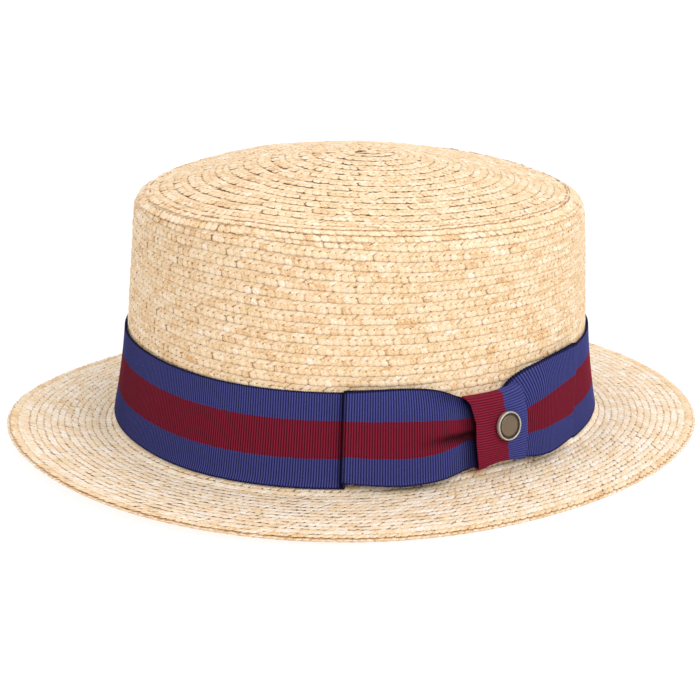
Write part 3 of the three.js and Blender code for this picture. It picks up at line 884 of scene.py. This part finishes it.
def makeBand():
    ribs = round(bandLength / ribbon["ribPitch"])
    count = ribs * ribbon["samples"]
    walked = roundWalk[0] + bandLength * np.arange(count) / count
    angle = np.interp(walked, roundWalk, roundAngles)
    along = walked - hat["bowMiddle"]
    rise = (1 - np.cos(angle)) / 2
    low, high = hat["bandLow"] + hat["bandLowLift"] * rise, hat["bandTop"] + hat["bandTopLift"] * rise
    for place, reach, spread in ribbon["bandRaised"]:
        low = low + reach * nearAngle(angle, place, spread)
    for loop in bowLoops.values():
        hidden = (along * loop["end"] >= 0) & (np.abs(along) < abs(loop["end"]))
        low = np.where(hidden, np.maximum(low, loopValue(loop, along, "low") + bow["tuck"]), low)
        high = np.where(hidden, np.minimum(high, loopValue(loop, along, "high") - bow["tuck"]), high)
    share = np.linspace(0, 1, ribbon["bandLanes"] + 1)
    height = low[:, None] + (high - low)[:, None] * share
    radius = ovalRadius(angle)[:, None] + ribbonOut(height, ribbon["off"])
    middle = np.stack([radius * np.cos(angle)[:, None], radius * np.sin(angle)[:, None], height], -1)
    # painted shade: a dark line on the band beside each loop's fold
    paintedShade = np.zeros_like(height)
    for loop in bowLoops.values():
        way = math.copysign(1, loop["end"])
        foldEdge = loop["end"] + way * (bow["foldReach"] + loop["lean"] * (height - bow["middle"]))
        paintedShade += bow["foldShade"] * np.exp(-((along[:, None] - foldEdge) / bow["foldSpread"]) ** 2)
    # painted shade on the band's far side
    place, amount, spread = ribbon["bandPaintedShade"]
    paintedShade += amount * nearAngle(angle, place, spread)[:, None]
    walked = np.arange(count) / ribbon["samples"] * ribbon["ribPitch"]
    return clothPiece("ribbon_band", middle, walked, share, True, paintedShade)


def makeLoop(name, loop):
    half = ribbon["thick"] / 2
    end = loop["end"]
    way = math.copysign(1, end)
    layer = np.linspace(way, end, bow["layerSteps"])
    behind = np.stack([layer, loopValue(loop, layer, "back") + half], 1)
    ahead = np.stack([layer, loopValue(loop, layer, "front") + half], 1)[::-1]
    radius = (ahead[0, 1] - behind[-1, 1]) / 2
    turn = np.linspace(0, math.pi, bow["foldSteps"])[1:-1]
    fold = np.stack([end + way * radius * np.sin(turn), behind[-1, 1] + radius * (1 - np.cos(turn))], 1)
    walked, (along, out) = spacedAlong(np.concatenate([behind, fold, ahead]))
    inFront = np.clip((out - loopValue(loop, along, "back") - half) / bow["frontOver"], 0, 1)
    share = np.linspace(0, 1, ribbon["loopLanes"] + 1)
    stripeLow, stripeHigh = loopValue(loop, along, "stripeLow"), loopValue(loop, along, "stripeHigh")
    place = np.stack([np.interp(share, (0, ribbon["stripeLow"], ribbon["stripeHigh"], 1), (0, a, b, 1))
                      for a, b in zip(stripeLow, stripeHigh)])
    low, high = loopValue(loop, along, "low"), loopValue(loop, along, "high")
    height = low[:, None] + (high - low)[:, None] * place
    fromValley = np.abs(place - loopValue(loop, along, "valley")[:, None])
    valley = np.clip(1 - fromValley / bow["creaseReach"], 0, 1) ** bow["creasePower"]
    top = np.clip((place - bow["rollFrom"]) / (1 - bow["rollFrom"]), 0, 1) ** bow["rollPower"]
    crease = loopValue(loop, along, "crease")[:, None] * valley
    room = np.clip(out - loopValue(loop, along, "back") - half - bow["clear"], 0, None)[:, None]
    dip = np.minimum(room, crease + room * loopValue(loop, along, "roll")[:, None] * top)
    out = out[:, None] - dip * inFront[:, None]
    distance = np.abs(along)[:, None]
    leaning = loop["lean"] * (height - bow["middle"]) * np.clip(
        (distance - bow["leanFrom"]) / (abs(end) - bow["leanFrom"]), 0, 1)
    gathered = loop["gather"] * np.clip(height - bow["gatherAbove"], 0, None) * np.clip(
        (bow["gatherTo"] - distance) / bow["gatherOver"], 0, 1)
    middle = onBand(along[:, None] + way * (leaning - gathered), height, out)
    # Painted shade on the loop's front: in the crease and the rolled top edge near the knot, a painted shadow
    # beside the knot, and a dark line at the fold
    nearKnot = loopValue(loop, along, "crease")[:, None] / max(loop["crease"])
    shadow = np.clip((loop["shadeTo"] - distance) / loop["shadeOver"], 0, 1) ** bow["shadePower"]
    paintedShade = (nearKnot * (bow["creaseShade"] * valley + bow["rollShade"] * top) + shadow) * inFront[:, None]
    fromFold = (distance - abs(end) - bow["foldReach"]) / bow["foldSpread"]
    paintedShade = paintedShade + bow["foldShade"] * np.exp(-fromFold ** 2)
    return clothPiece(name, middle, walked, share, False, paintedShade)


# Knot: a folded ribbon wrapped round the bow's middle, its edges and seam placed along the band by height
knot = dict(
    low=8.2, high=38.1, back=0.3, front=5.8, swell=0.7, corner=1.6, faceSteps=40, cornerSteps=8, lanes=24,
    curl=0.7, curlPower=8, shareFrom=0.306, shareTo=0.936, seamAcross=0.625, paintedLight=-0.22,
    saddle=(0.3, 1.8), saddleFrom=28.0, saddleOver=10.0, lift=1.7, liftBelow=16.0, liftOver=7.0,
    heights=[9.8, 13.0, 20.5, 28.0, 35.5, 40.0], left=[-10.4, -10.8, -11.4, -11.2, -13.2, -17.2],
    seam=[3.1, 3.0, 2.7, 2.4, 2.1, 2.0], right=[12.5, 12.9, 13.8, 14.3, 13.0, 9.5])


def makeKnot():
    half = ribbon["thick"] / 2
    low, high = knot["low"] + half, knot["high"] - half
    back, front, corner = knot["back"] + half, knot["front"] - half, knot["corner"]
    quarter, steps = math.pi / 2, knot["cornerSteps"]
    fall = np.linspace(0, 1, knot["faceSteps"])[1:-1]
    faceHeight = high - corner + (low - high + 2 * corner) * fall
    face = np.stack([faceHeight, front + knot["swell"] * np.sin(math.pi * fall)], 1)
    line = np.concatenate([
        arcPoints(low + corner, back + corner, corner, 2 * quarter, 3 * quarter, steps),
        arcPoints(high - corner, back + corner, corner, 3 * quarter, 4 * quarter, steps),
        arcPoints(high - corner, front - corner, corner, 0, quarter, steps), face,
        arcPoints(low + corner, front - corner, corner, quarter, 2 * quarter, steps)])
    walked, (height, out) = spacedAlong(line, closed=True)
    across = np.linspace(0, 1, knot["lanes"] + 1)
    rows = [[np.interp(h, knot["heights"], knot[side]) for side in ("left", "seam", "right")] for h in height]
    along = np.stack([np.interp(across, (0, knot["seamAcross"], 1), row) for row in rows])
    outward = np.abs(2 * across - 1)
    curl = knot["curl"] * outward ** knot["curlPower"] * np.clip((out - back) / (front - back), 0, 1)[:, None]
    corners = np.where(across < 0.5, *knot["saddle"]) * outward ** 2
    saddle = corners * np.clip((height - knot["saddleFrom"]) / knot["saddleOver"], 0, 1)[:, None]
    below = np.clip((knot["liftBelow"] - height) / knot["liftOver"], 0, 1)
    lift = knot["lift"] * np.sin(math.pi * across) * below[:, None]
    middle = onBand(along, height[:, None] + saddle + lift, out[:, None] - curl)
    share = knot["shareFrom"] + (knot["shareTo"] - knot["shareFrom"]) * across
    # painted light: the knot's colour is lifted, as a negative painted shade
    return clothPiece("bow_knot", middle, walked, share, True, knot["paintedLight"])


# Stud: a bright rim round a dark groove and a bare face, seated on the knot
stud = dict(
    along=2.7, height=23.9, off=6.8, sides=64, mergeWithin=0.002,
    tones=[(0.0, (206, 198, 184)), (0.34, (190, 181, 166)), (0.4, (34, 29, 25)), (0.62, (34, 29, 25)),
           (0.68, (128, 111, 91)), (1.0, (121, 104, 85))],
    dullTone=(104, 87, 69), dulled=(0.35, 0.65, 0.5), lengthwise=0.5, crosswise=6.0,
    streaks=0.6, specks=0.4, roughness=0.26, roughWear=0.3,
    # Radius, rise and tone of each ring, from the seat out and over the rim to the middle of the face
    profile=[(0, 0, 0), (5.6, 0, 0), (6, 0.4, 0), (6, 1.5, 0), (5.9, 1.85, 0), (5.65, 2.0, 0), (5.4, 1.92, 0),
             (5.28, 1.65, 0.3), (5.24, 1.3, 0.5), (4.45, 1.25, 0.5), (4.35, 1.45, 0.7), (4.1, 1.58, 1),
             (2.0, 1.7, 1), (0, 1.74, 1)])


def studMaterial():
    material, tree, shader = newMaterial("agedStud", Metallic=0.55, Specular_IOR_Level=0.5)
    tones = setRamp(addNode(tree, "ShaderNodeValToRGB", {0: readValue(tree, "zone", "Fac")}), stud["tones"])
    fibre = fibreAt(tree, readValue(tree, "weave"), stud["lengthwise"], stud["crosswise"])
    worn = weigh(tree, fibre["Streak"], stud["streaks"], fibre["Speck"], stud["specks"])
    dull = fade(tree, worn, *stud["dulled"])
    aged = mixColours(tree, dull, tones.outputs[0], screenColour(*stud["dullTone"]))
    rough = calc(tree, "ADD", stud["roughness"], calc(tree, "MULTIPLY", worn, stud["roughWear"]))
    tree.links.new(aged, shader.inputs["Base Color"])
    tree.links.new(rough, shader.inputs["Roughness"])
    return material


def makeStud():
    seat = onBand(np.array([stud["along"]]), np.array([stud["height"]]), 0)[0]
    beside = onBand(np.array([stud["along"] + 1]), np.array([stud["height"]]), 0)[0] - seat
    above = onBand(np.array([stud["along"]]), np.array([stud["height"] + 1]), 0)[0] - seat
    square = np.cross(beside, above)
    square /= np.linalg.norm(square)
    beside /= np.linalg.norm(beside)
    above = np.cross(square, beside)
    turn = np.arange(stud["sides"]) * fullTurn / stud["sides"]
    ring = np.cos(turn)[:, None] * beside + np.sin(turn)[:, None] * above
    points, zones, place = [], [], []
    for radius, rise, zone in stud["profile"]:
        points.append(seat + square * (stud["off"] + rise) + ring * radius)
        zones += [zone] * stud["sides"]
        place += [(radius * math.cos(a), radius * math.sin(a), rise) for a in turn]
    faces = gridFaces(len(stud["profile"]), stud["sides"], closeColumns=True)
    piece = addPiece("stud", np.concatenate(points), faces, sharpAngle=50)
    keepValues(piece, "zone", zones)
    keepValues(piece, "weave", place)
    cleanMesh(piece, stud["mergeWithin"])
    piece.data.materials.append(studMaterial())
    return piece


ribbonBand = makeBand()
frontLoop = makeLoop("bow_front_loop", bowLoops["front"])
backLoop = makeLoop("bow_back_loop", bowLoops["back"])
bowKnot = makeKnot()
badge = makeStud()
print("ribbon laid")

# White studio, with lengths in metres
studio = dict(
    floorSize=16.0, floor=(120, 120, 120), floorGlow=0.85, world=0.72, lampsAimAt=0.05,
    lamps=[dict(name="key", side=0.68, front=0.8, up=0.9, reach=1.5, size=0.9, watts=10),
           dict(name="fill", side=-1.0, front=0.8, up=0.55, reach=1.7, size=1.4, watts=3),
           dict(name="top", side=0.1, front=-0.3, up=1.0, reach=1.4, size=1.2, watts=5.5)])


def makeStudio():
    half = studio["floorSize"] / 2 / mm
    corners = [(-half, -half, 0), (half, -half, 0), (half, half, 0), (-half, half, 0)]
    floor = addPiece("floor", corners, [(0, 1, 2, 3)])
    floorPaint, _, _ = newMaterial(
        "floorPaint", Base_Color=screenColour(*studio["floor"]), Roughness=0.9,
        Emission_Color=(1, 1, 1, 1), Emission_Strength=studio["floorGlow"])
    floor.data.materials.append(floorPaint)
    world = bpy.data.worlds.new("studio")
    world.use_nodes = True
    world.node_tree.nodes["Background"].inputs["Color"].default_value = (1, 1, 1, 1)
    world.node_tree.nodes["Background"].inputs["Strength"].default_value = studio["world"]
    bpy.context.scene.world = world
    front = Vector((cameraBack.x, cameraBack.y, 0)).normalized()
    for lamp in studio["lamps"]:
        light = bpy.data.lights.new(lamp["name"], "AREA")
        light.shape = "DISK"
        light.size = lamp["size"]
        light.energy = lamp["watts"]
        holder = bpy.data.objects.new(lamp["name"], light)
        way = cameraRight * lamp["side"] + front * lamp["front"] + Vector((0, 0, lamp["up"]))
        way.normalize()
        holder.location = way * lamp["reach"] + Vector((0, 0, studio["lampsAimAt"]))
        holder.rotation_mode = "QUATERNION"
        holder.rotation_quaternion = way.to_track_quat("Z", "Y")
        bpy.context.scene.collection.objects.link(holder)
    bpy.context.scene.view_settings.view_transform = "Standard"


makeStudio()
print("studio set")

for piece in strawPieces:
    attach(piece, "root")
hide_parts("crown")
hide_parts("brim")
for piece in (ribbonBand, frontLoop, backLoop, bowKnot):
    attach(piece, "root")
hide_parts("band")
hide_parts("bow_front")
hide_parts("bow_back")
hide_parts("knot")
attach(badge, "root")
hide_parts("badge")
